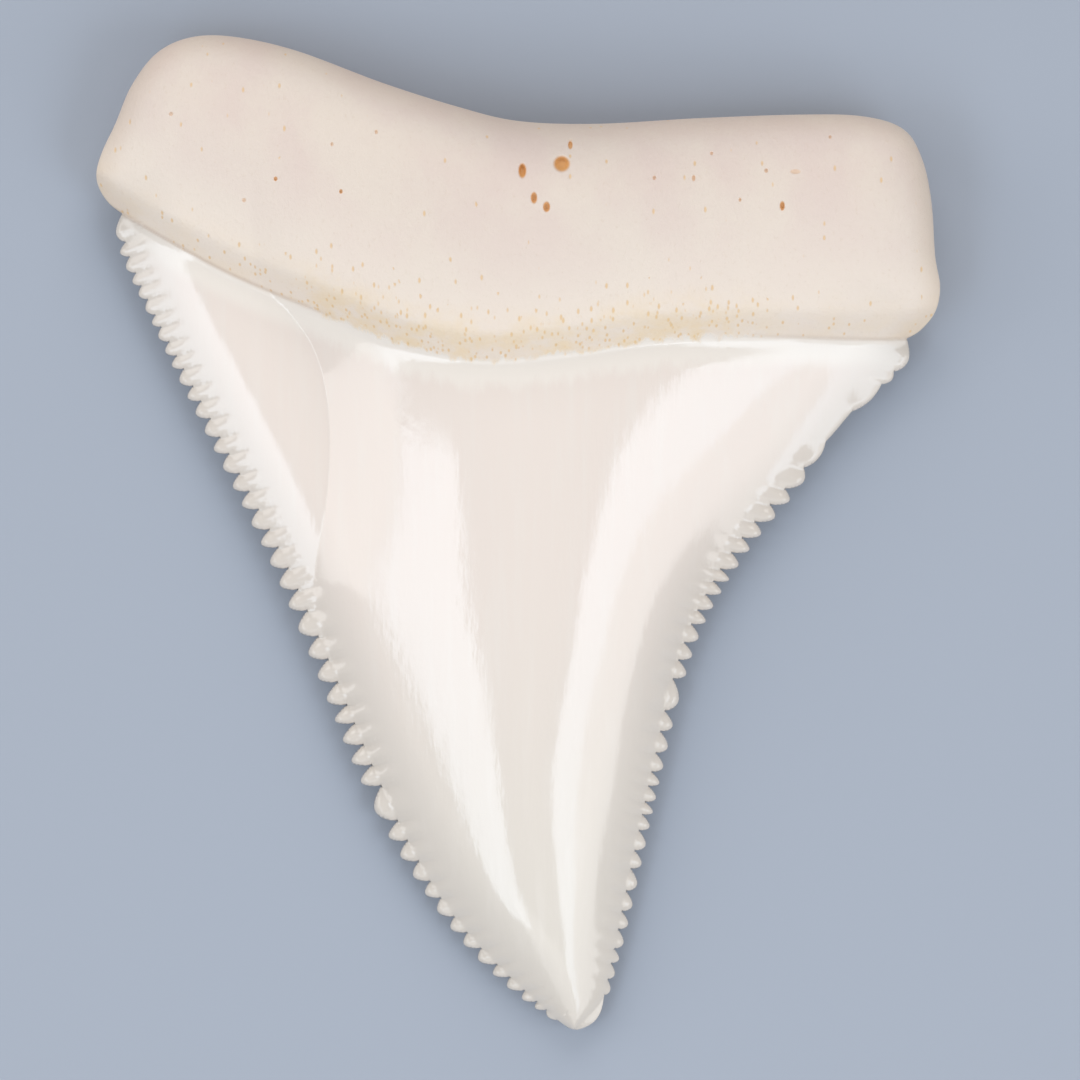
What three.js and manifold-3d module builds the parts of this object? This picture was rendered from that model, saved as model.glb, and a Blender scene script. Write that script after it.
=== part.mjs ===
// Fossil tooth of a great white shark: one solid of root and serrated crown, lying on its flat lip-side face.
// Millimetres. +X runs across the tooth, +Y from the crown's tip to the root and +Z up out of the tongue-side
// face. The origin is on the rest plane, below the middle of the tooth's bounding box.

import * as THREE from "three";
import { mergeVertices } from "three/addons/utils/BufferGeometryUtils.js";
import Module from "manifold-3d";

// Root seen from above, from the right end of the crown's base round the top to the left end.
const ROOT_OUTLINE = [
  [20.98, 10.56], [21.7, 11.0], [22.45, 11.95], [22.72, 13.3], [22.45, 15.0], [22.25, 17.9], [21.75, 20.2],
  [20.75, 21.8], [18.6, 22.5], [15.2, 22.6], [9.6, 22.4], [4.2, 22.1], [0.0, 22.25], [-3.2, 23.0],
  [-7.3, 24.3], [-12.0, 26.05], [-15.4, 26.8], [-17.7, 26.75], [-19.5, 25.9], [-20.85, 24.15],
  [-21.7, 22.15], [-22.45, 20.55], [-22.75, 19.4], [-22.6, 18.6], [-22.1, 17.85], [-21.41, 17.3],
];

// A cutting edge has the line of its notches from root to tip, then rows of serration number against the
// distance along that line where it starts, and of serration number against how far it stands out.
const LEFT_EDGE = {
  line: [
    [-21.41, 17.3], [-21.05, 15.1], [-19.4, 11.4], [-16.6, 6.15], [-13.0, -0.7], [-10.45, -6.4],
    [-7.6, -13.2], [-5.0, -18.4], [-2.2, -22.2], [2.1, -26.3],
  ],
  starts: [
    [0, 0], [1, 1.5], [5, 4.9], [11, 10.1], [17, 16.6], [22, 22.5], [26, 28.0], [31, 34.1], [32, 36.1],
    [38, 43.3], [42, 47.7], [45, 50.1],
  ],
  heights: [
    [0, 0.45], [5, 0.36], [12, 0.6], [20, 0.78], [28, 0.95], [31, 0.9], [35, 0.62], [41, 0.6], [44, 0.25],
  ],
};
const RIGHT_EDGE = {
  line: [
    [20.98, 10.56], [20.3, 8.8], [18.0, 6.6], [15.35, 3.5], [12.15, -0.1], [9.7, -4.05], [8.35, -7.8],
    [7.3, -12.4], [6.1, -18.0], [4.65, -24.95],
  ],
  starts: [
    [0, 0], [1, 1.9], [2, 2.95], [5, 9.1], [10, 15.15], [14, 18.65], [18, 22.7], [19, 24.4], [22, 27.8],
    [26, 31.1], [31, 36.6], [35, 40.2],
  ],
  heights: [
    [0, 0.42], [1, 0.25], [2, 0.3], [3, 0.04], [4, 0.3], [6, 0.72], [14, 0.68], [22, 0.55], [30, 0.48],
    [34, 0.26],
  ],
};
const TIP_OUTLINE = [[2.1, -26.3], [3.0, -26.82], [3.95, -26.5], [4.45, -25.85], [4.65, -24.95]];

// Shape of one serration: a blunt hook that points outwards and a little towards the tip, its crest past the
// middle of its own length.
const SERRATION_DROOP = THREE.MathUtils.degToRad(18);
const SERRATION_SKEW = 1.25;
const SERRATION_BLUNTNESS = 0.7;
const SERRATION_WANDER = 0.06;
const WANDER_TURN = 2.4;

// Line across the upper face where the crown's enamel meets the root, as rows of x and y.
const CROWN_BASE = [
  [-22.8, 18.2], [-21.4, 17.3], [-16.1, 14.3], [-10.8, 12.0], [-6.0, 10.1], [-2.1, 9.35], [2.0, 9.6],
  [7.6, 10.4], [13.0, 10.6], [18.4, 10.5], [21.0, 10.56], [22.8, 10.9],
];

// The crown's ridge line, the height of its edges and its thickness above them, as rows of y and a value.
const RIDGE_X = [[-26.8, 3.1], [-22.0, 1.7], [-17.0, 0.8], [-10.0, 0.5], [0.0, 0.5], [6.0, 0.3], [12.0, 0.4]];
const EDGE_HEIGHT = [[-26.8, 0.9], [-10.0, 1.2], [14.0, 1.6]];
const CROWN_THICKNESS = [
  [-26.8, 0.6], [-23.0, 1.75], [-20.0, 2.5], [-16.0, 3.15], [-12.0, 3.58], [-8.0, 3.88], [-4.0, 4.12],
  [0.0, 4.28], [4.0, 4.33], [7.0, 4.25], [10.0, 4.05], [13.0, 3.85],
];

// Cross-section of either side of the ridge, as rows of y and a value: how far the ridge reaches sideways,
// how flat its middle is, how softly its foot ends, and the thickness and width of the blade below it.
const LEFT_SIDE = {
  reach: [[-10.0, 22.0], [-5.0, 18.0], [0.0, 12.8], [5.0, 11.0], [10.0, 11.8], [14.0, 15.5]],
  flatness: [[-18.8, 1.7], [-14.4, 1.62], [-8.8, 1.56], [-2.5, 1.65], [3.1, 1.95], [6.5, 2.15], [10.0, 2.3]],
  foot: [[-4.0, 1.0], [14.0, 1.0]],
  blade: [[-26.8, 0.4], [-10.0, 0.55], [-2.5, 0.8], [4.0, 1.0]],
  width: [[-10.0, 2.6], [5.0, 3.3], [14.0, 3.2]],
};
const RIGHT_SIDE = {
  reach: [[-8.0, 20.0], [-4.0, 17.0], [0.0, 17.0], [4.0, 20.0], [9.0, 22.0]],
  flatness: [[-18.0, 1.9], [-13.0, 1.75], [-7.4, 2.1], [-1.8, 2.25], [3.0, 2.2]],
  foot: [[-6.0, 1.0], [0.0, 1.3], [4.0, 1.6]],
  blade: [[-26.8, 0.4], [-10.0, 0.45], [-4.0, 0.5], [4.0, 0.8], [9.0, 1.25], [14.0, 1.4]],
  width: [[-10.0, 2.6], [-3.0, 3.0], [5.0, 4.5], [14.0, 5.0]],
};
const REACH_BLEND = 4;
const RIDGE_CLEARANCE = 0.1;
const BLADE_ROUNDNESS = 1.5;
const BLADE_SHARE = 0.4;
const EDGE_THICKNESS = 0.2;
const NOTCH_INSET = 0.25;
const FLUTE_DEPTH = 0.5;
const FLUTE_INSET = 1.1;

// Root heights above the rest plane, how it rises from the crown, and where its rim takes over from the
// crown's.
const ROOT_RIM = 3.0;
const ROOT_LOBES = 6.3;
const ROOT_SWELLING = 2.4;
const ROOT_SWELLING_X = 1;
const ROOT_SWELLING_SPREAD = 9;
const ROOT_ROUNDING = 4.4;
const ROOT_SHOULDER = 8.5;
const ROOT_RISE = 0.8;
const ROOT_CREASE = 0.6;
const RIM_CHANGE = [-0.4, 1.6];

// Step along the outline, and distance from it, over which the root's rounding forgets the outline's corners.
const SOFT_STEP = 0.15;
const SOFT_START = [0.3, 1.0];

// Underside: the margins curve up from the rest plane, and the root has a shallow hollow.
const CROWN_UNDERCUT = 4;
const ROOT_UNDERCUT = 2.4;
const HOLLOW = { x: 1, y: 13, depth: 0.6, width: 7, length: 3.5, fade: 0.1 };

// Blood-vessel holes in the root: centre, half-widths across and along the tooth, depth.
const FORAMINA = [
  { x: 2.32, y: 19.74, across: 0.46, along: 0.46, depth: 0.42 },
  { x: 0.22, y: 19.36, across: 0.22, along: 0.43, depth: 0.34 },
  { x: 0.84, y: 17.9, across: 0.18, along: 0.33, depth: 0.24 },
  { x: 1.51, y: 17.42, across: 0.2, along: 0.3, depth: 0.24 },
  { x: 2.78, y: 20.78, across: 0.13, along: 0.25, depth: 0.2 },
];

// Middle line of the faces: from a joint, one arm runs each way along the crown's base and one down its
// ridge.
const JOINT = [0.4, 9.42];
const ARMS = {
  left: { line: [JOINT, [-2.1, 9.35], [-6.0, 10.1], [-10.8, 12.0], [-16.1, 14.3], [-18.6, 15.7]], steps: 18 },
  right: { line: [JOINT, [2.0, 9.6], [7.6, 10.4], [13.0, 10.6], [18.4, 10.5]], steps: 16 },
  crown: { line: [JOINT, [0.35, 5.0], [0.5, -8.5], [0.7, -17.0], [1.6, -22.0], [2.6, -25.2]], steps: 31 },
};

// Each stretch of the outline is drawn in to the arms in runs: share of the stretch where the run starts and
// ends, then the arm and the share of it that those ends go to.
const ROOT_RUNS = [
  [0, 0.195, "right", 1, 1],
  [0.195, 0.5, "right", 1, 0],
  [0.5, 0.845, "left", 0, 1],
  [0.845, 1, "left", 1, 1],
];
const LEFT_RUNS = [[0, 0.26, "left", 1, 0], [0.26, 1, "crown", 0, 1]];
const TIP_RUNS = [[0, 1, "crown", 1, 1]];
const RIGHT_RUNS = [[0, 0.32, "right", 1, 0], [0.32, 1, "crown", 0, 1]];

// Mesh density.
const SERRATION_SAMPLES = [0, 0.3, 0.6, 0.85];
const ROOT_STEPS = 80;
const TIP_STEPS = 8;
const END_CROWDING = 0.5;
const UPPER_RINGS = 15;
const LOWER_RINGS = 8;
const RING_CROWDING = 1.2;

const { smoothstep, clamp, lerp } = THREE.MathUtils;
const curveThrough = (points) => new THREE.SplineCurve(points.map(([x, y]) => new THREE.Vector2(x, y)));
const easeOut = (t) => 1 - (1 - clamp(t, 0, 1)) ** 2;
const roundOut = (t) => Math.sqrt(easeOut(t));

// Value at a position of a smooth curve through rows of position and value, level beyond its ends.
function valueAt(rows, position, column = 1) {
  const last = rows.length - 1;
  const place = clamp(position, rows[0][0], rows[last][0]);
  const i = clamp(rows.findIndex((row) => row[0] > place) - 1, 0, last - 1);
  const from = place === rows[last][0] ? last - 1 : i;
  const slope = (k) => {
    const before = rows[Math.max(k - 1, 0)];
    const after = rows[Math.min(k + 1, last)];
    return (after[column] - before[column]) / (after[0] - before[0]);
  };
  const step = rows[from + 1][0] - rows[from][0];
  const t = (place - rows[from][0]) / step;
  const start = rows[from][column] * (1 + 2 * t) * (1 - t) ** 2 + slope(from) * step * t * (1 - t) ** 2;
  return start + rows[from + 1][column] * t * t * (3 - 2 * t) + slope(from + 1) * step * t * t * (t - 1);
}

const armCurves = {};
for (const [name, { line }] of Object.entries(ARMS)) armCurves[name] = curveThrough(line);

// Point of the middle line that a share of a stretch is drawn in to.
function corePoint(runs, share) {
  const [from, to, arm, start, end] = runs.find((run) => share <= run[1]) ?? runs[runs.length - 1];
  return armCurves[arm].getPointAt(clamp(lerp(start, end, (share - from) / (to - from)), 0, 1));
}

// Stations of a smooth stretch of the outline, closer together towards its two ends and without them.
function smoothStations(outline, runs, steps) {
  const curve = curveThrough(outline);
  const stations = [];
  for (let i = 1; i < steps; i += 1) {
    const share = i / steps - (END_CROWDING / (2 * Math.PI)) * Math.sin((2 * Math.PI * i) / steps);
    const base = curve.getPointAt(share);
    const core = corePoint(runs, share);
    stations.push({ share, base, rim: base, core, flute: 0, kept: i % 2 === 0 });
  }
  return stations;
}

// Stations of a cutting edge from root to tip, with its serrations pointing to the left (-1) or right (1).
function serratedStations(edge, runs, side) {
  const hook = new THREE.Vector2(side * Math.cos(SERRATION_DROOP), -Math.sin(SERRATION_DROOP));
  const curve = curveThrough(edge.line);
  curve.arcLengthDivisions = 1000;
  const [count, reach] = edge.starts[edge.starts.length - 1];
  const startOf = (k) => {
    const wander = k > 0 && k < count ? SERRATION_WANDER * Math.sin(WANDER_TURN * k) : 0;
    return clamp((valueAt(edge.starts, k) + wander) / reach, 0, 1);
  };
  const stationAt = (share, height, flute, kept) => {
    const base = curve.getPointAt(share);
    const rim = base.clone().addScaledVector(hook, height);
    return { share, base, rim, core: corePoint(runs, share), flute, kept };
  };
  const stations = [];
  for (let k = 0; k < count; k += 1) {
    const height = valueAt(edge.heights, k);
    for (const sample of SERRATION_SAMPLES) {
      const crest = Math.sin(Math.PI * sample ** SERRATION_SKEW) ** SERRATION_BLUNTNESS;
      const share = lerp(startOf(k), startOf(k + 1), sample);
      stations.push(stationAt(share, height * crest, height * (crest - 0.5), sample === 0));
    }
  }
  stations.push(stationAt(1, 0, 0, true));
  return stations;
}

// The whole outline, anticlockwise seen from above. The right edge is listed from root to tip and then turned
// round.
const stretches = [
  { runs: ROOT_RUNS, stations: smoothStations(ROOT_OUTLINE, ROOT_RUNS, ROOT_STEPS) },
  { runs: LEFT_RUNS, stations: serratedStations(LEFT_EDGE, LEFT_RUNS, -1) },
  { runs: TIP_RUNS, stations: smoothStations(TIP_OUTLINE, TIP_RUNS, TIP_STEPS) },
  {
    runs: RIGHT_RUNS.map(([from, to, arm, start, end]) => [to, from, arm, end, start]).reverse(),
    stations: serratedStations(RIGHT_EDGE, RIGHT_RUNS, 1).reverse(),
  },
];
const stations = stretches.flatMap((stretch) => stretch.stations);

// Distance from a point to the outline without its serrations.
function marginDistance(x, y) {
  let nearest = Infinity;
  stations.forEach(({ base }, i) => {
    const next = stations[(i + 1) % stations.length].base;
    const [dx, dy] = [next.x - base.x, next.y - base.y];
    const span = dx * dx + dy * dy;
    const t = span > 0 ? clamp(((x - base.x) * dx + (y - base.y) * dy) / span, 0, 1) : 0;
    nearest = Math.min(nearest, Math.hypot(x - base.x - t * dx, y - base.y - t * dy));
  });
  return nearest;
}

// Short steps of that outline.
const outlineSteps = [];
stations.forEach(({ base }, i) => {
  const next = stations[(i + 1) % stations.length].base;
  const span = base.distanceTo(next);
  const count = Math.ceil(span / SOFT_STEP);
  for (let k = 0; k < count; k += 1) {
    outlineSteps.push({ middle: base.clone().lerp(next, (k + 0.5) / count), length: span / count });
  }
});

// Distance inside the outline that rounds off where two of its sides are about as near as each other. Beside
// one long straight side it is the true distance.
function softMargin(x, y, margin) {
  let pull = 0;
  for (const { middle, length } of outlineSteps) {
    pull += length / ((x - middle.x) ** 2 + (y - middle.y) ** 2) ** 2;
  }
  const soft = ((2 / Math.PI) * pull) ** (-1 / 3);
  return lerp(margin, soft, smoothstep(margin, ...SOFT_START));
}

const tipPoint = [TIP_OUTLINE[1][1], TIP_OUTLINE[1][0]];
const edgeRows = (edge) => [tipPoint, ...edge.line.map(([x, y]) => [y, x]).reverse()];
const leftEdgeX = edgeRows(LEFT_EDGE);
const rightEdgeX = edgeRows(RIGHT_EDGE);

const aboveBase = (x, y) => y - valueAt(CROWN_BASE, x);

// Height of the outline itself, where the upper and lower faces meet.
function rimHeight(x, y) {
  return lerp(valueAt(EDGE_HEIGHT, y), ROOT_RIM, smoothstep(aboveBase(x, y), ...RIM_CHANGE));
}

// Lesser of two lengths, rounded off where they are about the same.
const softLeast = (a, b) => (a ** -REACH_BLEND + b ** -REACH_BLEND) ** (-1 / REACH_BLEND);

// Height of the crown's upper face above its edge: a ridge that stands on a thin bevelled blade.
function crownHeight(x, y, margin) {
  const [left, right] = [valueAt(leftEdgeX, y), valueAt(rightEdgeX, y)];
  const ridge = clamp(valueAt(RIDGE_X, y), left + RIDGE_CLEARANCE, right - RIDGE_CLEARANCE);
  const side = x < ridge ? LEFT_SIDE : RIGHT_SIDE;
  const reach = softLeast(x < ridge ? ridge - left : right - ridge, valueAt(side.reach, y));
  const offside = clamp(Math.abs(x - ridge) / reach, 0, 1);
  const flank = (1 - offside ** valueAt(side.flatness, y)) ** valueAt(side.foot, y);
  const width = Math.min(valueAt(side.width, y), BLADE_SHARE * (right - left) + EDGE_THICKNESS);
  const bevel = 1 - (1 - clamp(margin / width, 0, 1)) ** BLADE_ROUNDNESS;
  const blade = valueAt(side.blade, y);
  return EDGE_THICKNESS + blade * bevel + (valueAt(CROWN_THICKNESS, y) - blade) * flank;
}

// Share of the root's own height at a distance above the crown's base line, easing in and out.
function shoulder(above) {
  const start = clamp((above + ROOT_CREASE) / (2 * ROOT_CREASE), 0, 1);
  const eased = above < ROOT_CREASE ? ROOT_CREASE * start ** 2 : above;
  const t = clamp(eased / ROOT_SHOULDER, 0, 1);
  return t * (ROOT_RISE + t * (3 - 2 * ROOT_RISE + t * (ROOT_RISE - 2)));
}

function upperHeight(x, y) {
  const margin = marginDistance(x, y);
  const rim = rimHeight(x, y);
  const swelling = ROOT_SWELLING * Math.exp(-(((x - ROOT_SWELLING_X) / ROOT_SWELLING_SPREAD) ** 2));
  const root = rim + (ROOT_LOBES + swelling - rim) * roundOut(softMargin(x, y, margin) / ROOT_ROUNDING);
  return lerp(rim + crownHeight(x, y, margin), root, shoulder(aboveBase(x, y)));
}

function lowerHeight(x, y) {
  const margin = marginDistance(x, y);
  const rise = lerp(
    1 - easeOut(margin / CROWN_UNDERCUT),
    1 - roundOut(margin / ROOT_UNDERCUT),
    smoothstep(aboveBase(x, y), ...RIM_CHANGE),
  );
  const reach = Math.exp(-(((x - HOLLOW.x) / HOLLOW.width) ** 2) - ((y - HOLLOW.y) / HOLLOW.length) ** 2);
  return rimHeight(x, y) * rise + Math.max(0, HOLLOW.depth * (reach - HOLLOW.fade));
}

// Rings of vertices run inwards from the outline over each face, and strips of triangles join them.
const positions = [];
const triangles = [];

function addVertex(x, y, z) {
  positions.push(x, y, z);
  return positions.length / 3 - 1;
}

function addTriangle(a, b, c, up) {
  if (a === b || b === c || c === a) return;
  triangles.push(...(up ? [a, b, c] : [a, c, b]));
}

const rimRing = stations.map(({ base, rim }, i) => ({
  place: i,
  vertex: addVertex(rim.x, rim.y, rimHeight(base.x, base.y)),
}));

// Ring at a distance inside the line of the notches, fluted in step with the serrations on the upper face.
function marginRing(inset, up) {
  return stations.map(({ base, core, flute }, i) => {
    const inward = core.clone().sub(base).setLength(inset);
    const [x, y] = [base.x + inward.x, base.y + inward.y];
    const z = up ? upperHeight(x, y) + FLUTE_DEPTH * flute * (1 - inset / FLUTE_INSET) : lowerHeight(x, y);
    return { place: i, vertex: addVertex(x, y, z) };
  });
}

// Ring at a share of the way from the innermost margin ring to the middle line, at the kept stations only.
function innerRing(share, up) {
  const inset = up ? FLUTE_INSET : NOTCH_INSET;
  const ring = [];
  stations.forEach(({ base, core, kept }, i) => {
    if (!kept) return;
    const inward = core.clone().sub(base);
    const start = inset / inward.length();
    const t = lerp(start, 1, share);
    const [x, y] = [base.x + inward.x * t, base.y + inward.y * t];
    ring.push({ place: i, vertex: addVertex(x, y, up ? upperHeight(x, y) : lowerHeight(x, y)) });
  });
  return ring;
}

function joinRings(outer, inner, up) {
  const placeOf = (ring, k) => ring[k % ring.length].place + (k >= ring.length ? stations.length : 0);
  const vertexOf = (ring, k) => ring[k % ring.length].vertex;
  let i = 0;
  let j = 0;
  while (i < outer.length || j < inner.length) {
    const middle = (placeOf(inner, j) + placeOf(inner, j + 1)) / 2;
    const outerNext = j >= inner.length || (i < outer.length && placeOf(outer, i + 1) <= middle);
    if (outerNext) {
      addTriangle(vertexOf(outer, i), vertexOf(outer, i + 1), vertexOf(inner, j), up);
      i += 1;
    } else {
      addTriangle(vertexOf(outer, i), vertexOf(inner, j + 1), vertexOf(inner, j), up);
      j += 1;
    }
  }
}

// Walk along both sides of every arm, as places in the list of stations and the arms' shared vertices.
function middleWalk(up) {
  const height = up ? upperHeight : lowerHeight;
  const joint = addVertex(...JOINT, height(...JOINT));
  const nodes = {};
  for (const [name, { steps }] of Object.entries(ARMS)) {
    nodes[name] = armCurves[name].getSpacedPoints(steps).map(({ x, y }, i) => {
      return i === 0 ? joint : addVertex(x, y, height(x, y));
    });
  }
  const walk = [];
  let first = 0;
  for (const stretch of stretches) {
    const shares = stretch.stations.map(({ share }) => share);
    for (const [from, to, arm, start, end] of stretch.runs) {
      const { steps } = ARMS[arm];
      for (let k = 0; k <= steps; k += 1) {
        const share = lerp(from, to, k / steps);
        const vertex = nodes[arm][Math.round(lerp(start, end, k / steps) * steps)];
        const passed = shares.findIndex((value) => (value - share) * (to - from) >= 0);
        walk.push({ place: first + (passed < 0 ? shares.length - 1 : passed), vertex });
      }
    }
    first += shares.length;
  }
  return walk;
}

function addFace(rings, up) {
  const faceRings = [rimRing, marginRing(NOTCH_INSET, up)];
  if (up) faceRings.push(marginRing(FLUTE_INSET, up));
  for (let k = 1; k < rings; k += 1) {
    faceRings.push(innerRing((k / rings) ** RING_CROWDING, up));
  }
  faceRings.push(middleWalk(up));
  for (let k = 0; k + 1 < faceRings.length; k += 1) {
    joinRings(faceRings[k], faceRings[k + 1], up);
  }
}

addFace(UPPER_RINGS, true);
addFace(LOWER_RINGS, false);

const kernel = await Module();
kernel.setup();

function solidFrom(geometry) {
  const bare = new THREE.BufferGeometry();
  bare.setAttribute("position", geometry.getAttribute("position"));
  bare.setIndex(geometry.index);
  const merged = mergeVertices(bare, 1e-4);
  return new kernel.Manifold(
    new kernel.Mesh({
      numProp: 3,
      vertProperties: merged.getAttribute("position").array,
      triVerts: new Uint32Array(merged.index.array),
    }),
  );
}

const blank = new THREE.BufferGeometry();
blank.setAttribute("position", new THREE.Float32BufferAttribute(positions, 3));
blank.setIndex(triangles);
let tooth = solidFrom(blank);
for (const { x, y, across, along, depth } of FORAMINA) {
  const hole = new THREE.SphereGeometry(1, 12, 8);
  hole.rotateX(Math.PI / 2);
  hole.scale(across, along, depth);
  hole.translate(x, y, upperHeight(x, y));
  tooth = tooth.subtract(solidFrom(hole));
}

const result = tooth.getMesh();
const geometry = new THREE.BufferGeometry();
geometry.setAttribute("position", new THREE.BufferAttribute(result.vertProperties, 3));
geometry.setIndex(new THREE.BufferAttribute(result.triVerts, 1));
geometry.computeBoundingBox();
const middle = geometry.boundingBox.getCenter(new THREE.Vector3());
geometry.translate(-middle.x, -middle.y, -geometry.boundingBox.min.z);
geometry.computeVertexNormals();

const ivory = new THREE.MeshStandardMaterial({ color: 0xeee3d8, roughness: 0.4, metalness: 0 });
const toothMesh = new THREE.Mesh(geometry, ivory);
toothMesh.name = "tooth";

const group = new THREE.Group();
group.name = "fossil_shark_tooth";
group.add(toothMesh);
export default group;
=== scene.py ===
"""Fossil tooth of a great white shark, lying on its flat lip-side face and seen from straight above.

The mesh follows the same outline and cross-sections as the solid, at a much finer step. It adds a thin groove
at both ends of the crown's base, the root's small pits and the rounding of the cutting edges. Lengths are in
millimetres until the mesh is made, and in metres after that.
"""

from math import cos, pi, radians, sin

import bpy
import numpy as np
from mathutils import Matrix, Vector
from mathutils.geometry import delaunay_2d_cdt
from mathutils.kdtree import KDTree


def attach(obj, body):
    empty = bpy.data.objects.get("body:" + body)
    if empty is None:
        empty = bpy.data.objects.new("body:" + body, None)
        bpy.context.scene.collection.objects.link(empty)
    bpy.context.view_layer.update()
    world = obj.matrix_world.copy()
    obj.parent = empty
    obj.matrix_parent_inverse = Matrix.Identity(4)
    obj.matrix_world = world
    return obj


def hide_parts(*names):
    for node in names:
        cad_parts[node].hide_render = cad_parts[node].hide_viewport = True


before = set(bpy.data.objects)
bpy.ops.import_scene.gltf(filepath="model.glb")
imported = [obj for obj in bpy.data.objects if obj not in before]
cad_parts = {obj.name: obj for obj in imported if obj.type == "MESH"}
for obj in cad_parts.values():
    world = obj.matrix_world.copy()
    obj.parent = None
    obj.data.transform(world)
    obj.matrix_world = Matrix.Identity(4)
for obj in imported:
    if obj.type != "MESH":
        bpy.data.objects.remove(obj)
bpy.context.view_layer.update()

MM = 0.001

# Root seen from above, from the right end of the crown's base round the top to the left end.
ROOT_OUTLINE = [
    (20.98, 10.56), (21.7, 11.0), (22.45, 11.95), (22.72, 13.3), (22.45, 15.0), (22.25, 17.9), (21.75, 20.2),
    (20.75, 21.8), (18.6, 22.5), (15.2, 22.6), (9.6, 22.4), (4.2, 22.1), (0.0, 22.25), (-3.2, 23.0),
    (-7.3, 24.3), (-12.0, 26.05), (-15.4, 26.8), (-17.7, 26.75), (-19.5, 25.9), (-20.85, 24.15),
    (-21.7, 22.15), (-22.45, 20.55), (-22.75, 19.4), (-22.6, 18.6), (-22.1, 17.85), (-21.41, 17.3),
]

# A cutting edge has the line of its notches from root to tip, then rows of serration number against the
# distance along that line where it starts, and of serration number against how far it stands out.
LEFT_EDGE = {
    "line": [
        (-21.41, 17.3), (-21.05, 15.1), (-19.4, 11.4), (-16.6, 6.15), (-13.0, -0.7), (-10.45, -6.4),
        (-7.6, -13.2), (-5.0, -18.4), (-2.2, -22.2), (2.1, -26.3),
    ],
    "starts": [
        (0, 0), (1, 1.5), (5, 4.9), (11, 10.1), (17, 16.6), (22, 22.5), (26, 28.0), (31, 34.1), (32, 36.1),
        (38, 43.3), (42, 47.7), (45, 50.1),
    ],
    "heights": [
        (0, 0.45), (5, 0.36), (12, 0.6), (20, 0.78), (28, 0.95), (31, 0.9), (35, 0.62), (41, 0.6), (44, 0.25),
    ],
}
RIGHT_EDGE = {
    "line": [
        (20.98, 10.56), (20.3, 8.8), (18.0, 6.6), (15.35, 3.5), (12.15, -0.1), (9.7, -4.05), (8.35, -7.8),
        (7.3, -12.4), (6.1, -18.0), (4.65, -24.95),
    ],
    "starts": [
        (0, 0), (1, 1.9), (2, 2.95), (5, 9.1), (10, 15.15), (14, 18.65), (18, 22.7), (19, 24.4), (22, 27.8),
        (26, 31.1), (31, 36.6), (35, 40.2),
    ],
    "heights": [
        (0, 0.42), (1, 0.25), (2, 0.3), (3, 0.04), (4, 0.3), (6, 0.72), (14, 0.68), (22, 0.55), (30, 0.48),
        (34, 0.26),
    ],
}
TIP_OUTLINE = [(2.1, -26.3), (3.0, -26.82), (3.95, -26.5), (4.45, -25.85), (4.65, -24.95)]

# Shape of one serration: a blunt hook that points outwards and a little towards the tip.
SERRATION_DROOP = radians(18)
SERRATION_SKEW = 1.25
SERRATION_BLUNTNESS = 0.7
SERRATION_WANDER = 0.06
WANDER_TURN = 2.4

# Line across the upper face where the crown's enamel meets the root, as rows of x and y.
CROWN_BASE = [
    (-22.8, 18.2), (-21.4, 17.3), (-16.1, 14.3), (-10.8, 12.0), (-6.0, 10.1), (-2.1, 9.35), (2.0, 9.6),
    (7.6, 10.4), (13.0, 10.6), (18.4, 10.5), (21.0, 10.56), (22.8, 10.9),
]

# The crown's ridge line, the height of its edges and its thickness above them, as rows of y and a value.
RIDGE_X = [(-26.8, 3.1), (-22.0, 1.7), (-17.0, 0.8), (-10.0, 0.5), (0.0, 0.5), (6.0, 0.3), (12.0, 0.4)]
EDGE_HEIGHT = [(-26.8, 0.9), (-10.0, 1.2), (14.0, 1.6)]
CROWN_THICKNESS = [
    (-26.8, 0.6), (-23.0, 1.75), (-20.0, 2.5), (-16.0, 3.15), (-12.0, 3.58), (-8.0, 3.88), (-4.0, 4.12),
    (0.0, 4.28), (4.0, 4.33), (7.0, 4.25), (10.0, 4.05), (13.0, 3.85),
]

# Cross-section of either side of the ridge, as rows of y and a value: how far the ridge reaches sideways, how
# flat its middle is, how softly its foot ends, and the thickness and width of the blade below it.
LEFT_SIDE = {
    "reach": [(-10.0, 22.0), (-5.0, 18.0), (0.0, 12.8), (5.0, 11.0), (10.0, 11.8), (14.0, 15.5)],
    "flatness": [
        (-18.8, 1.7), (-14.4, 1.62), (-8.8, 1.56), (-2.5, 1.65), (3.1, 1.95), (6.5, 2.15), (10.0, 2.3),
    ],
    "foot": [(-4.0, 1.0), (14.0, 1.0)],
    "blade": [(-26.8, 0.4), (-10.0, 0.55), (-2.5, 0.8), (4.0, 1.0)],
    "width": [(-10.0, 2.6), (5.0, 3.3), (14.0, 3.2)],
}
RIGHT_SIDE = {
    "reach": [(-8.0, 20.0), (-4.0, 17.0), (0.0, 17.0), (4.0, 20.0), (9.0, 22.0)],
    "flatness": [(-18.0, 1.9), (-13.0, 1.75), (-7.4, 2.1), (-1.8, 2.25), (3.0, 2.2)],
    "foot": [(-6.0, 1.0), (0.0, 1.3), (4.0, 1.6)],
    "blade": [(-26.8, 0.4), (-10.0, 0.45), (-4.0, 0.5), (4.0, 0.8), (9.0, 1.25), (14.0, 1.4)],
    "width": [(-10.0, 2.6), (-3.0, 3.0), (5.0, 4.5), (14.0, 5.0)],
}
REACH_BLEND = 4.0
RIDGE_CLEARANCE = 0.1
BLADE_ROUNDNESS = 1.5
BLADE_SHARE = 0.4
EDGE_THICKNESS = 0.2
EDGE_ROUNDING = 0.35
FLUTE_DEPTH = 0.5
FLUTE_INSET = 1.1
FLUTE_RAMP = 0.3

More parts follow.
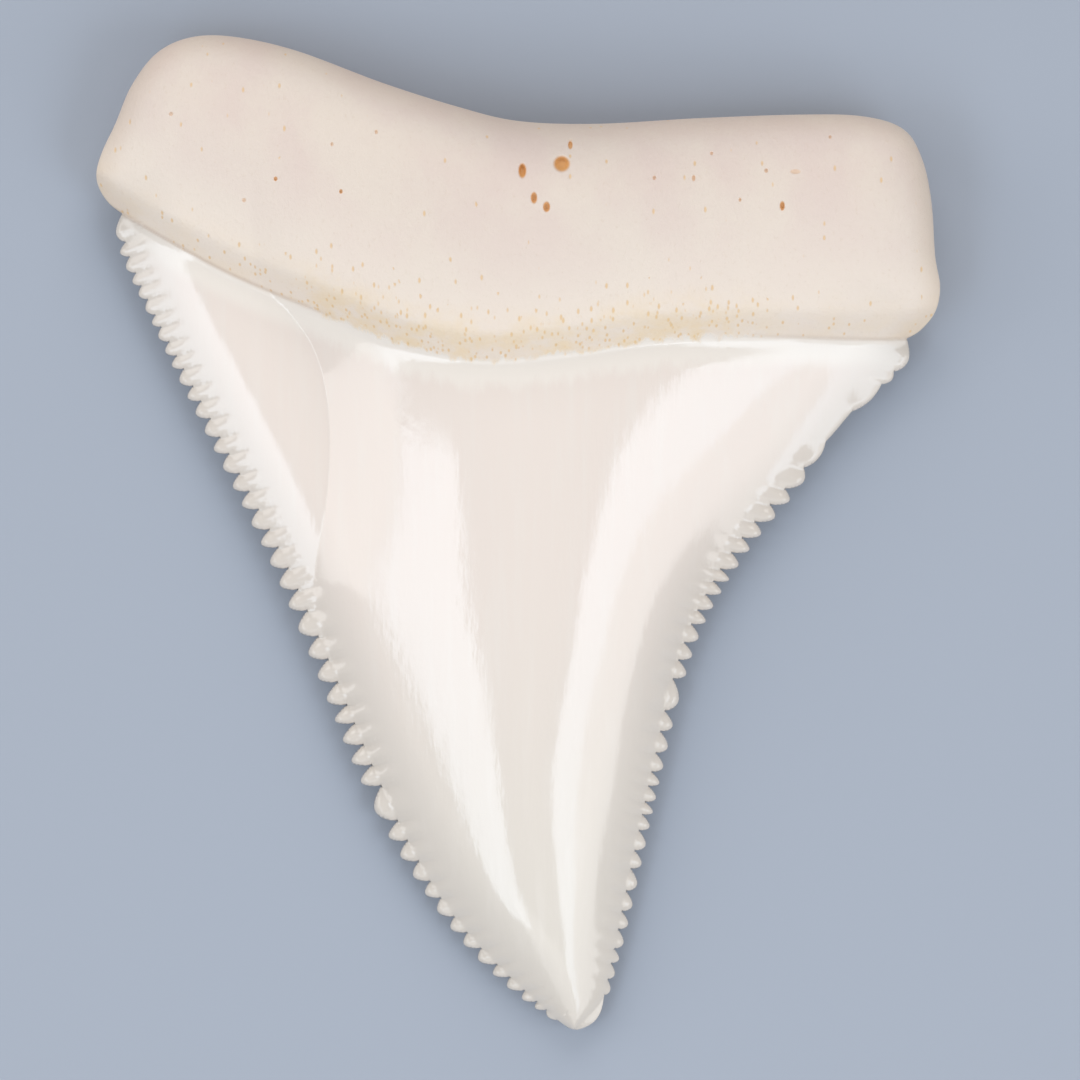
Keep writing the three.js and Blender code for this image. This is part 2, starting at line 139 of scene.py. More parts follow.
# Root heights above the rest plane, how it rises from the crown, and where its rim takes over from the
# crown's.
ROOT_RIM = 3.0
ROOT_LOBES = 6.3
ROOT_SWELLING = 2.4
ROOT_SWELLING_X = 1
ROOT_SWELLING_SPREAD = 9
ROOT_ROUNDING = 4.4
ROOT_SHOULDER = 8.5
ROOT_RISE = 0.8
ROOT_CREASE = 0.6
RIM_CHANGE = (-0.4, 1.6)
SOFT_START = (0.3, 1.0)

# Thin groove along the crown's base, as rows of x and depth, and its half-width.
GROOVE_DEPTH = [
    (-22.8, 0.06), (-20.0, 0.09), (-11.5, 0.07), (-9.0, 0.0), (11.0, 0.0), (14.5, 0.05), (20.5, 0.06),
]
GROOVE_WIDTH = 0.11
GROOVE_DEEPEST = 0.09

# Underside: the margins curve up from the rest plane, and the root has a shallow hollow.
CROWN_UNDERCUT = 4
ROOT_UNDERCUT = 2.4
HOLLOW = {"x": 1, "y": 13, "depth": 0.6, "width": 7, "length": 3.5, "fade": 0.1}

# Blood-vessel holes and small pits in the root: centre, half-widths across and along the tooth, depth, and how
# much of the brown filling they hold. A hole's wall and its filling fade out between two shares of its radius.
HOLES = [
    (2.32, 19.74, 0.46, 0.46, 0.42, 1.0),
    (0.22, 19.36, 0.22, 0.43, 0.34, 1.0),
    (0.84, 17.9, 0.18, 0.33, 0.24, 0.9),
    (1.51, 17.42, 0.2, 0.3, 0.24, 0.9),
    (2.78, 20.78, 0.13, 0.25, 0.2, 0.9),
    (-12.99, 19.01, 0.11, 0.13, 0.12, 0.8),
    (-9.48, 18.31, 0.1, 0.13, 0.12, 0.8),
    (14.12, 17.55, 0.14, 0.27, 0.2, 0.9),
    (14.82, 19.39, 0.3, 0.14, 0.06, 0.35),
    (13.26, 19.44, 0.11, 0.13, 0.1, 0.4),
    (9.37, 19.01, 0.1, 0.18, 0.1, 0.5),
    (7.26, 19.01, 0.1, 0.13, 0.1, 0.4),
    (11.85, 17.87, 0.08, 0.12, 0.08, 0.45),
    (10.34, 20.36, 0.09, 0.11, 0.08, 0.4),
    (16.71, 21.28, 0.09, 0.11, 0.08, 0.4),
    (-18.6, 22.5, 0.12, 0.12, 0.08, 0.3),
    (-14.7, 17.9, 0.12, 0.12, 0.08, 0.35),
    (-9.96, 20.84, 0.09, 0.12, 0.08, 0.35),
    (-7.59, 21.49, 0.09, 0.13, 0.08, 0.4),
]
HOLE_WALL = (0.35, 1.1)
FILLING_EDGE = (0.7, 1.1)

# Stretches of x over which the root's pores set in at the left and stop at the right.
PORES_START = (-13.5, -9)
PORES_STOP = (9, 15)

# Mesh density.
SERRATION_SAMPLES = 12
ROOT_STEPS = 300
TIP_STEPS = 32
MARGIN_SHARES = [0.02, 0.06, 0.12, 0.2, 0.3, 0.42, 0.56, 0.72, 0.88]
UPPER_STEP = 0.25
LOWER_STEP = 0.6
LOWER_CLEARANCE = 0.2
FINE_GAP = 0.1
GROOVE_SPAN = (-22.0, 21.6)
GROOVE_STEP = 0.13
GROOVE_OFFSETS = [-0.5, -0.32, -0.21, -0.14, -0.07, 0, 0.07, 0.14, 0.21, 0.32, 0.5]
FOLD_SPAN = (-6.0, 14.0)
FOLD_STEP = 0.12
FOLD_OFFSETS = (-0.06, 0, 0.06)
HOLE_RINGS = [0.2, 0.35, 0.5, 0.63, 0.75, 0.87, 1.0, 1.1, 1.25, 1.5]
HOLE_TURNS = 26
OUTLINE_SAMPLES = 8000
SOFT_STRIDE = 5
SOFT_BATCH = 2000
TANGENT_STEP = 0.3


def smooth_line(points, per_span=160):
    """Close polyline along the Catmull-Rom curve through the points."""
    p = np.array([points[0], *points, points[-1]], float)
    t = np.linspace(0, 1, per_span, endpoint=False)[:, None]
    spans = []
    for a, b, c, d in zip(p, p[1:], p[2:], p[3:]):
        bend = 2 * a - 5 * b + 4 * c - d
        spans.append(b + 0.5 * ((c - a) * t + bend * t**2 + (3 * b - a - 3 * c + d) * t**3))
    return np.vstack([*spans, p[-1:]])


def along(line, shares):
    """Points at shares of a polyline's length."""
    steps = np.hypot(*np.diff(line, axis=0).T)
    travelled = np.concatenate([[0], np.cumsum(steps)]) / steps.sum()
    return np.column_stack([np.interp(shares, travelled, line[:, k]) for k in (0, 1)])


def value_at(rows, position):
    """Values at positions of a smooth curve through rows of position and value, level beyond its ends."""
    x, v = np.array(rows, float).T
    before = np.maximum(np.arange(len(x)) - 1, 0)
    after = np.minimum(np.arange(len(x)) + 1, len(x) - 1)
    slope = (v[after] - v[before]) / (x[after] - x[before])
    place = np.clip(position, x[0], x[-1])
    i = np.clip(np.searchsorted(x, place, side="right") - 1, 0, len(x) - 2)
    step = x[i + 1] - x[i]
    t = (place - x[i]) / step
    start = v[i] * (1 + 2 * t) * (1 - t) ** 2 + slope[i] * step * t * (1 - t) ** 2
    return start + v[i + 1] * t * t * (3 - 2 * t) + slope[i + 1] * step * t * t * (t - 1)


def lerp(a, b, t):
    return a + (b - a) * t


def smoothstep(x, low, high):
    t = np.clip((x - low) / (high - low), 0, 1)
    return t * t * (3 - 2 * t)


def ease_out(t):
    return 1 - (1 - np.clip(t, 0, 1)) ** 2


def round_out(t):
    return np.sqrt(ease_out(t))


class Outline:
    """Stations round the tooth, anticlockwise from above: notch line, way inwards, serration height, rim."""

    def __init__(self):
        self.base = np.empty((0, 2))
        self.inward = np.empty((0, 2))
        self.lobe = np.empty(0)
        self.flute = np.empty(0)
        self.add_smooth(ROOT_OUTLINE, ROOT_STEPS)
        self.add_edge(LEFT_EDGE, side=-1)
        self.add_smooth(TIP_OUTLINE, TIP_STEPS)
        self.add_edge(RIGHT_EDGE, side=1)
        self.rim = self.base - self.inward * self.lobe[:, None]

    def add(self, base, inward, lobe, flute):
        self.base = np.vstack([self.base, base])
        self.inward = np.vstack([self.inward, inward])
        self.lobe = np.concatenate([self.lobe, lobe])
        self.flute = np.concatenate([self.flute, flute])

    def add_smooth(self, outline, steps):
        line = smooth_line(outline)
        shares = np.arange(1, steps) / steps
        tangent = along(line, shares + TANGENT_STEP / steps) - along(line, shares - TANGENT_STEP / steps)
        inward = np.column_stack([-tangent[:, 1], tangent[:, 0]])
        inward /= np.hypot(*inward.T)[:, None]
        none = np.zeros(len(shares))
        self.add(along(line, shares), inward, none, none)

    def add_edge(self, edge, side):
        count, reach = edge["starts"][-1]
        number = np.arange(count + 1)
        wander = SERRATION_WANDER * np.sin(WANDER_TURN * number) * ((number > 0) & (number < count))
        starts = np.clip((value_at(edge["starts"], number) + wander) / reach, 0, 1)
        sample = np.tile(np.arange(SERRATION_SAMPLES) / SERRATION_SAMPLES, count)
        serration = np.repeat(np.arange(count), SERRATION_SAMPLES)
        shares = np.append(lerp(starts[serration], starts[serration + 1], sample), 1)
        height = value_at(edge["heights"], serration)
        crest = np.sin(pi * sample**SERRATION_SKEW) ** SERRATION_BLUNTNESS
        lobe = np.append(height * crest, 0)
        flute = np.append(height * (crest - 0.5), 0)
        base = along(smooth_line(edge["line"]), shares)
        inward = np.tile((-side * cos(SERRATION_DROOP), sin(SERRATION_DROOP)), (len(base), 1))
        order = slice(None, None, -side)
        self.add(base[order], inward, lobe[order], flute[order])


outline = Outline()
closed_base = np.vstack([outline.base, outline.base[:1]])
base_samples = along(closed_base, np.linspace(0, 1, OUTLINE_SAMPLES, endpoint=False))
base_tree = KDTree(len(base_samples))
for index, (x, y) in enumerate(base_samples):
    base_tree.insert((x, y, 0), index)
base_tree.balance()


def inside(points):
    """True where a point is inside the line of the notches."""
    x, y = points.T
    odd = np.zeros(len(points), bool)
    for (x0, y0), (x1, y1) in zip(outline.base, np.roll(outline.base, -1, axis=0)):
        if y0 != y1:
            crosses = (y0 > y) != (y1 > y)
            odd ^= crosses & (x < (x1 - x0) * (y - y0) / (y1 - y0) + x0)
    return odd


def margin_distance(points):
    """Distance inside the line of the notches, zero outside it."""
    distance = np.array([base_tree.find((x, y, 0))[2] for x, y in points])
    return np.where(inside(points), distance, 0)


def soft_margin(points, margin):
    """Distance inside the outline that rounds off where two sides are about as near as each other."""
    step = np.hypot(*np.diff(base_samples[:2], axis=0)[0]) * SOFT_STRIDE
    pull = np.empty(len(points))
    for start in range(0, len(points), SOFT_BATCH):
        part = points[start:start + SOFT_BATCH]
        gaps = part[:, None, :] - base_samples[None, ::SOFT_STRIDE]
        pull[start:start + SOFT_BATCH] = (1 / (gaps**2).sum(axis=2) ** 2).sum(axis=1) * step
    return lerp(margin, (2 / pi * pull) ** (-1 / 3), smoothstep(margin, *SOFT_START))


def above_base(points):
    return points[:, 1] - value_at(CROWN_BASE, points[:, 0])


def rim_height(points):
    return lerp(value_at(EDGE_HEIGHT, points[:, 1]), ROOT_RIM, smoothstep(above_base(points), *RIM_CHANGE))


def edge_x(edge, y):
    tip = TIP_OUTLINE[1]
    return value_at([(tip[1], tip[0]), *((v, u) for u, v in reversed(edge["line"]))], y)


def soft_least(a, b):
    """Lesser of two lengths, rounded off where they are about the same."""
    return (a**-REACH_BLEND + b**-REACH_BLEND) ** (-1 / REACH_BLEND)


def ridge_at(y):
    """The ridge line's x, how far the ridge reaches to its left and right, and the crown's width."""
    left, right = edge_x(LEFT_EDGE, y), edge_x(RIGHT_EDGE, y)
    ridge = np.clip(value_at(RIDGE_X, y), left + RIDGE_CLEARANCE, right - RIDGE_CLEARANCE)
    left_reach = soft_least(ridge - left, value_at(LEFT_SIDE["reach"], y))
    right_reach = soft_least(right - ridge, value_at(RIGHT_SIDE["reach"], y))
    return ridge, left_reach, right_reach, right - left


def crown_height(points, margin):
    """Height of the crown's upper face above its edge."""
    x, y = points.T
    ridge, left_reach, right_reach, across = ridge_at(y)
    on_left = x < ridge

    def of_side(name):
        return np.where(on_left, value_at(LEFT_SIDE[name], y), value_at(RIGHT_SIDE[name], y))

    offside = np.clip(np.abs(x - ridge) / np.where(on_left, left_reach, right_reach), 0, 1)
    flank = (1 - offside ** of_side("flatness")) ** of_side("foot")
    width = np.minimum(of_side("width"), BLADE_SHARE * across + EDGE_THICKNESS)
    bevel = 1 - (1 - np.clip(margin / width, 0, 1)) ** BLADE_ROUNDNESS
    blade = of_side("blade")
    return EDGE_THICKNESS + blade * bevel + (value_at(CROWN_THICKNESS, y) - blade) * flank


def shoulder(above):
    """Share of the root's own height at a distance above the crown's base line, easing in and out."""
    start = np.clip((above + ROOT_CREASE) / (2 * ROOT_CREASE), 0, 1)
    t = np.clip(np.where(above < ROOT_CREASE, ROOT_CREASE * start**2, above) / ROOT_SHOULDER, 0, 1)
    return t * (ROOT_RISE + t * (3 - 2 * ROOT_RISE + t * (ROOT_RISE - 2)))


def hole_radius(points, hole):
    """Distance from a hole's centre, as a share of its half-widths."""
    x, y, across, length = hole[:4]
    return np.hypot((points[:, 0] - x) / across, (points[:, 1] - y) / length)


def filling_share(points):
    """Share of the brown filling in the holes."""
    shares = [hole[5] * (1 - smoothstep(hole_radius(points, hole), *FILLING_EDGE)) for hole in HOLES]
    return np.max(shares, axis=0)


def groove_depth(points):
    depth = np.clip(value_at(GROOVE_DEPTH, points[:, 0]), 0, None)
    return depth * np.exp(-((above_base(points) / GROOVE_WIDTH) ** 2))


def upper_height(points, margin):
    x = points[:, 0]
    above = above_base(points)
    rim = rim_height(points)
    crest = ROOT_LOBES + ROOT_SWELLING * np.exp(-(((x - ROOT_SWELLING_X) / ROOT_SWELLING_SPREAD) ** 2))
    root = rim + (crest - rim) * round_out(soft_margin(points, margin) / ROOT_ROUNDING)
    height = lerp(rim + crown_height(points, margin), root, shoulder(above))
    height -= groove_depth(points) * (margin > 0)
    for hole in HOLES:
        height -= hole[4] * (1 - smoothstep(hole_radius(points, hole), *HOLE_WALL))
    return height


def lower_height(points, margin):
    x, y = points.T
    crown_rise = 1 - ease_out(margin / CROWN_UNDERCUT)
    root_rise = 1 - round_out(margin / ROOT_UNDERCUT)
    rise = lerp(crown_rise, root_rise, smoothstep(above_base(points), *RIM_CHANGE))
    across = (x - HOLLOW["x"]) / HOLLOW["width"]
    length = (y - HOLLOW["y"]) / HOLLOW["length"]
    reach = np.exp(-(across**2) - length**2)
    return rim_height(points) * rise + np.maximum(0, HOLLOW["depth"] * (reach - HOLLOW["fade"]))


def margin_rows():
    """Rows of points from the rim inwards, with the relief of the serrations on the upper face."""
    reach = outline.lobe + FLUTE_INSET
    points, relief = [], []
    for share in MARGIN_SHARES:
        depth = share * reach
        inset = depth - outline.lobe
        points.append(outline.rim + outline.inward * depth[:, None])
        ramp = smoothstep(depth, 0, FLUTE_RAMP) * np.clip(1 - np.maximum(inset, 0) / FLUTE_INSET, 0, 1)
        rounding = EDGE_THICKNESS * (1 - round_out(depth / EDGE_ROUNDING))
        relief.append(FLUTE_DEPTH * outline.flute * ramp - rounding)
    edge = np.tile(outline.lobe > 0, len(MARGIN_SHARES))
    return np.vstack(points), np.concatenate(relief) * edge


def groove_rows():
    """Rows of points along the groove between crown and root."""
    x = np.arange(*GROOVE_SPAN, GROOVE_STEP)
    y = value_at(CROWN_BASE, x)
    return np.vstack([np.column_stack([x, y + offset]) for offset in GROOVE_OFFSETS])


def fold_rows():
    """Rows of points along the sharp fold at the foot of the ridge's left side."""
    y = np.arange(*FOLD_SPAN, FOLD_STEP)
    ridge, left_reach, _, _ = ridge_at(y)
    return np.vstack([np.column_stack([ridge - left_reach + offset, y]) for offset in FOLD_OFFSETS])


def hole_rows():
    """Circles of points round each hole."""
    turns = np.linspace(0, 2 * pi, HOLE_TURNS, endpoint=False)
    across = np.outer(HOLE_RINGS, np.cos(turns)).ravel()
    length = np.outer(HOLE_RINGS, np.sin(turns)).ravel()
    circles = np.vstack([np.zeros((1, 2)), np.column_stack([across, length])])
    return np.vstack([circles * hole[2:4] + hole[:2] for hole in HOLES])


def grid(step):
    """Triangular grid over the whole outline."""
    low, high = outline.base.min(axis=0), outline.base.max(axis=0)
    rows = np.arange(low[1], high[1], step * sin(pi / 3))
    columns = np.arange(low[0], high[0], step)
    x, y = np.meshgrid(columns, rows)
    x = x + np.where(np.arange(len(rows)) % 2, step / 2, 0)[:, None]
    return np.column_stack([x.ravel(), y.ravel()])


def clear_of(points, others, gap):
    """The points that keep a gap from every other point."""
    tree = KDTree(len(others))
    for i, (x, y) in enumerate(others):
        tree.insert((x, y, 0), i)
    tree.balance()
    far = [tree.find((x, y, 0))[2] > gap for x, y in points]
    return points[np.array(far)]


def triangulate(inner):
    """Triangles over the rim's points, listed first, and the points inside the rim."""
    points = np.vstack([outline.rim, inner])
    count = len(outline.rim)
    edges = [(i, (i + 1) % count) for i in range(count)]
    made = delaunay_2d_cdt([Vector(p) for p in points], edges, [], 1, 1e-7)
    source = [origin[0] for origin in made[3]]
    return [[source[i] for i in face] for face in made[2]]


def upper_face():
    rows, relief = margin_rows()
    fold = fold_rows()
    fold = fold[above_base(fold) < -ROOT_CREASE]
    fine = np.vstack([groove_rows(), fold, hole_rows()])
    fine = fine[margin_distance(fine) > FLUTE_INSET]
    filling = grid(UPPER_STEP)
    filling = filling[margin_distance(filling) > FLUTE_INSET]
    filling = clear_of(filling, fine, FINE_GAP)
    inner = np.vstack([rows, fine, filling])
    relief = np.concatenate([relief, np.zeros(len(fine) + len(filling))])
    height = upper_height(inner, margin_distance(inner)) + relief
    return inner, height


def lower_face():
    rows, _ = margin_rows()
    filling = grid(LOWER_STEP)
    filling = filling[margin_distance(filling) > FLUTE_INSET + LOWER_CLEARANCE]
    inner = np.vstack([rows, filling])
    return inner, lower_height(inner, margin_distance(inner))


def make_tooth():
    upper, upper_z = upper_face()
    lower, lower_z = lower_face()
    count = len(outline.rim)
    plan = np.vstack([outline.rim, upper, lower])
    height = np.concatenate([rim_height(outline.base), upper_z, lower_z])
    faces = triangulate(upper)
    for a, b, c in triangulate(lower):
        faces.append([i if i < count else i + len(upper) for i in (a, c, b)])
    position = np.column_stack([plan, height])
    low, high = position.min(axis=0), position.max(axis=0)
    shift = np.array([(low[0] + high[0]) / 2, (low[1] + high[1]) / 2, low[2]])
    mesh = bpy.data.meshes.new("tooth")
    mesh.from_pydata((position - shift) * MM, [], faces)
    mesh.shade_smooth()
    attributes = {
        "above_base": above_base(plan),
        "edge_distance": np.concatenate([np.zeros(count), margin_distance(upper), margin_distance(lower)]),
        "filling": filling_share(plan),
        "groove": groove_depth(plan) / GROOVE_DEEPEST,
        "porous": smoothstep(plan[:, 0], *PORES_START) * (1 - smoothstep(plan[:, 0], *PORES_STOP)),
    }
    for name, values in attributes.items():
        mesh.attributes.new(name, "FLOAT", "POINT").data.foreach_set("value", values.astype(np.float32))
    tooth = bpy.data.objects.new("fossil_tooth", mesh)
    bpy.context.collection.objects.link(tooth)
    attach(tooth, "root")
    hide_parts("tooth")
    return tooth, shift


def linear(red, green, blue):
    """Shader colour of an sRGB colour of 0 to 255."""
    return [((c / 255 + 0.055) / 1.055) ** 2.4 for c in (red, green, blue)] + [1]


tooth, shift = make_tooth()


class Shader:
    """Short ways to add and link the nodes of one material."""

    def __init__(self, name):
        self.material = bpy.data.materials.new(name)
        self.material.use_nodes = True
        self.tree = self.material.node_tree
        self.surface = self.tree.nodes["Principled BSDF"]

    def add(self, kind, inputs, output=0, **settings):
        node = self.tree.nodes.new(kind)
        for key, value in settings.items():
            setattr(node, key, value)
        for key, value in inputs.items():
            self.set(node.inputs[key], value)
        return node.outputs[output]

    def set(self, socket, value):
        if isinstance(value, bpy.types.NodeSocket):
            self.tree.links.new(value, socket)
        else:
            socket.default_value = value

    def attribute(self, name):
        return self.add("ShaderNodeAttribute", {}, output="Fac", attribute_name=name)

    def math(self, operation, *values):
        return self.add("ShaderNodeMath", dict(enumerate(values)), operation=operation)

    def ramp(self, value, low, high, bottom=0.0, top=1.0):
        """Smooth step of a value from low to high."""
        inputs = {"Value": value, "From Min": low, "From Max": high, "To Min": bottom, "To Max": top}
        return self.add("ShaderNodeMapRange", inputs, interpolation_type="SMOOTHSTEP")

    def mix(self, share, first, second):
        return self.add("ShaderNodeMix", {0: share, 6: first, 7: second}, output=2, data_type="RGBA")

    def noise(self, place, stretch, detail=3.0, roughness=0.55):
        """Noise of 0 to 1 with so many features per millimetre along each axis."""
        scaled = self.add("ShaderNodeVectorMath", {0: place, 1: stretch}, operation="MULTIPLY")
        inputs = {"Vector": scaled, "Scale": 1.0, "Detail": detail, "Roughness": roughness}
        return self.add("ShaderNodeTexNoise", inputs, output="Fac")

    def dashes(self, place, stretch, density, size):
        """Scattered dashes, in a share of the cells of a stretched grid, of a size as a share of a cell."""
        scaled = self.add("ShaderNodeVectorMath", {0: place, 1: stretch}, operation="MULTIPLY")
        cells = self.tree.nodes.new("ShaderNodeTexVoronoi")
        cells.inputs["Scale"].default_value = 1.0
        self.set(cells.inputs["Vector"], scaled)
        chance = self.add("ShaderNodeSeparateColor", {0: cells.outputs["Color"]})
        chosen = self.math("LESS_THAN", chance, density)
        return self.math("MULTIPLY", chosen, self.ramp(cells.outputs["Distance"], size, 0.4 * size))

    def bump(self, height, depth, below=None):
        """Relief of a depth in millimetres, on top of another bump."""
        inputs = {"Height": height, "Distance": depth * MM, "Strength": 1.0}
        if below is not None:
            inputs["Normal"] = below
        return self.add("ShaderNodeBump", inputs)


ROOT_TAN = linear(229, 214, 200)
ROOT_ROSE = linear(225, 206, 195)
ROOT_CREAM_AND_PAINTED_LIGHT = linear(238, 224, 210)
ROOT_BROWN_AND_EDGE_SHADE = linear(206, 182, 154)
PORE_AMBER = linear(228, 186, 126)
STAIN_YELLOW = linear(238, 206, 146)
FILLING_RUST = linear(222, 166, 102)
GROOVE_BROWN = linear(170, 132, 98)
ENAMEL_CREAM = linear(236, 223, 213)
ENAMEL_TIP = linear(228, 220, 209)
ENAMEL_NECK_AND_HIGHLIGHT = linear(242, 233, 223)
ENAMEL_MARGIN_SHADE = linear(214, 205, 195)
ENAMEL_STREAK = linear(237, 229, 220)


def tooth_material():
    s = Shader("fossil_tooth")
    position = s.add("ShaderNodeTexCoord", {}, output="Object")
    place = s.add("ShaderNodeVectorMath", {0: position, 3: 1 / MM}, operation="SCALE")
    y = s.add("ShaderNodeSeparateXYZ", {0: place}, output="Y")
    above = s.attribute("above_base")
    edge = s.attribute("edge_distance")
    porous = s.attribute("porous")
    filling = s.attribute("filling")
    groove = s.attribute("groove")

    # Enamel ends at a sharp line at the sides and at a ragged one in the middle.
    ragged = s.math("SUBTRACT", s.noise(place, (1.6, 0.5, 1.0), 6.0, 0.65), 0.5)
    ragged = s.math("MULTIPLY", ragged, s.ramp(porous, 0, 1, 0.1, 1.6))
    line = s.math("ADD", above, ragged)
    enamel = s.ramp(line, 0.14, -0.14)
    root = s.math("SUBTRACT", 1.0, enamel)

    # Root: matte, mottled, paler towards the crown, with amber pores that crowd along the crown's base. The
    # paler part is partly the root's own colour and partly painted light on the lower half of its swelling.
    blotches = s.noise(place, (0.22, 0.16, 0.2), 4.0)
    root_colour = s.mix(s.ramp(blotches, 0.35, 0.65), ROOT_TAN, ROOT_ROSE)
    # Paler towards the crown: partly the root's own colour, partly painted light on the lower half of the
    # swelling.
    root_colour = s.mix(s.ramp(above, 9.0, 1.0, 0.0, 0.9), root_colour, ROOT_CREAM_AND_PAINTED_LIGHT)
    grain = s.noise(place, (5.0, 3.2, 4.0), 5.0, 0.7)
    root_colour = s.mix(s.ramp(grain, 0.55, 0.8, 0.0, 0.3), root_colour, ROOT_BROWN_AND_EDGE_SHADE)
    # Browner within 1.6 mm of the outline: partly the root's own edge colour, partly painted shade where the
    # rounded edge turns away.
    root_colour = s.mix(s.ramp(edge, 1.6, 0.0, 0.0, 0.3), root_colour, ROOT_BROWN_AND_EDGE_SHADE)
    crowd = s.math("MULTIPLY", s.ramp(line, 5.0, 0.0), s.ramp(porous, 0, 1, 0.3, 1.0))
    pores = s.dashes(place, (3.6, 1.7, 2.0), s.ramp(crowd, 0.0, 1.0, 0.04, 1.0), 0.36)
    root_colour = s.mix(s.math("MULTIPLY", pores, 0.7), root_colour, PORE_AMBER)
    patches = s.ramp(s.noise(place, (0.55, 0.8, 0.6), 4.0, 0.6), 0.35, 0.65)
    tint = s.math("MULTIPLY", s.ramp(line, 3.2, 0.0), s.ramp(porous, 0, 1, 0.2, 0.7))
    stains = s.math("MULTIPLY", tint, s.math("MULTIPLY_ADD", patches, 0.6, 0.06))
    root_colour = s.mix(stains, root_colour, STAIN_YELLOW)
    root_colour = s.mix(filling, root_colour, FILLING_RUST)

    # Enamel: glossy cream, greyer at the tip, whiter in a band below the root (partly its own colour, partly
    # painted highlight of the curving neck), and greyer and darker at the thin edges as painted shade.
    enamel_colour = s.mix(s.ramp(y, -24.0, 2.0), ENAMEL_TIP, ENAMEL_CREAM)
    streaks = s.noise(place, (1.3, 0.09, 0.6), 4.0, 0.6)
    enamel_colour = s.mix(s.ramp(streaks, 0.45, 0.75, 0.0, 0.35), enamel_colour, ENAMEL_STREAK)
    # Whiter band below the root: partly the enamel's own colour, partly painted highlight of the curving neck.
    enamel_colour = s.mix(s.ramp(line, -1.9, -0.9), enamel_colour, ENAMEL_NECK_AND_HIGHLIGHT)
    # Greyer and darker towards the thin edges: painted shade.
    enamel_colour = s.mix(s.ramp(edge, 3.0, -0.2, 0.0, 0.85), enamel_colour, ENAMEL_MARGIN_SHADE)

    colour = s.mix(enamel, root_colour, enamel_colour)
    colour = s.mix(s.math("MULTIPLY", groove, 0.35), colour, GROOVE_BROWN)
    s.set(s.surface.inputs["Base Color"], colour)

    gloss = s.noise(place, (0.8, 0.3, 0.5), 3.0)
    root_roughness = s.ramp(grain, 0.3, 0.7, 0.55, 0.68)
    enamel_roughness = s.ramp(gloss, 0.3, 0.7, 0.08, 0.13)
    roughness = s.add("ShaderNodeMix", {0: enamel, 2: root_roughness, 3: enamel_roughness}, data_type="FLOAT")
    s.set(s.surface.inputs["Roughness"], roughness)

    matte_relief = s.math("MULTIPLY", s.math("MULTIPLY_ADD", pores, -0.4, grain), root)
    fibres = s.math("MULTIPLY", s.noise(place, (5.0, 0.6, 3.0), 3.0), enamel)
    ripples = s.math("MULTIPLY", s.noise(place, (1.3, 0.9, 1.0), 3.0), enamel)
    relief = s.bump(matte_relief, 0.035)
    relief = s.bump(fibres, 0.005, below=relief)
    relief = s.bump(ripples, 0.012, below=relief)
    s.set(s.surface.inputs["Normal"], relief)

    s.surface.inputs["IOR"].default_value = 1.63
    return s.material


tooth.data.materials.append(tooth_material())

# Camera straight above, framed as the picture is: its middle, and the width of its frame on the rest plane.
FRAME_MIDDLE = np.array([1.16, -0.32])
FRAME_WIDTH = 58.3
FRAME_PLANE = 2.0
LENS = 300
SENSOR = 36
CLIP_END = 10

# Studio, in metres: half the floor's side, its colour, the sky's strength and the softboxes' tint.
FLOOR_REACH = 3.0
FLOOR_COLOUR = linear(165, 172, 184)
SKY_STRENGTH = 0.395
COOL_WHITE = (0.88, 1.0, 1.13)


def make_camera():
    data = bpy.data.cameras.new("camera")
    data.lens = LENS
    data.sensor_width = SENSOR
    data.clip_end = CLIP_END
    camera = bpy.data.objects.new("camera", data)
    x, y = FRAME_MIDDLE - shift[:2]
    camera.location = Vector((x, y, FRAME_PLANE + FRAME_WIDTH * LENS / SENSOR)) * MM
    bpy.context.collection.objects.link(camera)
    bpy.context.scene.camera = camera


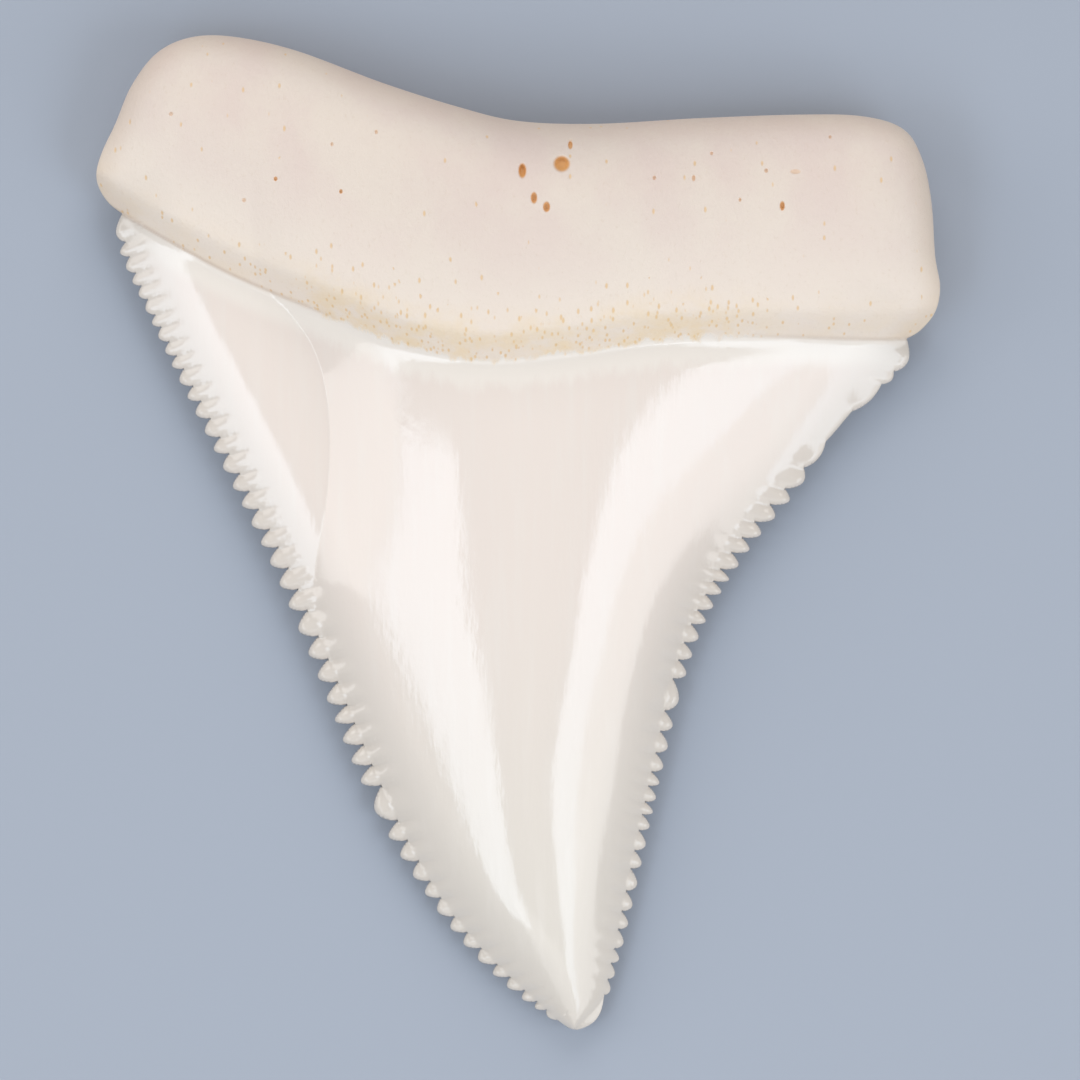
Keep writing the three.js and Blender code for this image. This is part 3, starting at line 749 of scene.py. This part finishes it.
def make_floor():
    corners = [(-FLOOR_REACH, -FLOOR_REACH, 0), (FLOOR_REACH, -FLOOR_REACH, 0)]
    corners += [(FLOOR_REACH, FLOOR_REACH, 0), (-FLOOR_REACH, FLOOR_REACH, 0)]
    mesh = bpy.data.meshes.new("floor")
    mesh.from_pydata(corners, [], [(0, 1, 2, 3)])
    floor = bpy.data.objects.new("floor", mesh)
    bpy.context.collection.objects.link(floor)
    paint = bpy.data.materials.new("floor")
    paint.use_nodes = True
    paint.node_tree.nodes["Principled BSDF"].inputs["Base Color"].default_value = FLOOR_COLOUR
    paint.node_tree.nodes["Principled BSDF"].inputs["Roughness"].default_value = 0.9
    mesh.materials.append(paint)


def make_light(name, tilt, turn, distance, size, power, aim=(0, 0, 0), colour=(1, 1, 1)):
    """Rectangular soft light that faces its aim, tilted from overhead towards a compass turn from +X."""
    data = bpy.data.lights.new(name, "AREA")
    data.shape = "RECTANGLE"
    data.size, data.size_y = size
    data.energy = power
    data.color = colour
    light = bpy.data.objects.new(name, data)
    tilt, turn = radians(tilt), radians(turn)
    away = Vector((sin(tilt) * cos(turn), sin(tilt) * sin(turn), cos(tilt)))
    light.location = Vector(aim) + away * distance
    light.rotation_euler = away.to_track_quat("Z", "Y").to_euler()
    bpy.context.collection.objects.link(light)


make_camera()
make_floor()

# Tilt and turn in degrees, distance and size in metres, power in watts.
make_light("left_softbox", 35, 180, 0.3, (0.24, 0.1), 0.2, aim=(0, -0.13, 0), colour=COOL_WHITE)
make_light("right_softbox", 36, 0, 0.3, (0.24, 0.1), 0.2, aim=(0, -0.13, 0), colour=COOL_WHITE)
make_light("left_diffuser", 60, 180, 0.34, (0.28, 0.18), 0.27, aim=(0, 0.07, 0))
make_light("right_diffuser", 60, 0, 0.34, (0.4, 0.18), 0.38, aim=(0, -0.2, 0))
make_light("front_softbox", 52, -90, 0.5, (0.5, 0.3), 0.38)
make_light("back_softbox", 58, 90, 0.5, (0.5, 0.3), 1.0)

world = bpy.data.worlds.new("studio")
world.use_nodes = True
world.node_tree.nodes["Background"].inputs["Color"].default_value = (1.0, 1.0, 1.0, 1)
world.node_tree.nodes["Background"].inputs["Strength"].default_value = SKY_STRENGTH
bpy.context.scene.world = world
bpy.context.scene.view_settings.view_transform = "Standard"
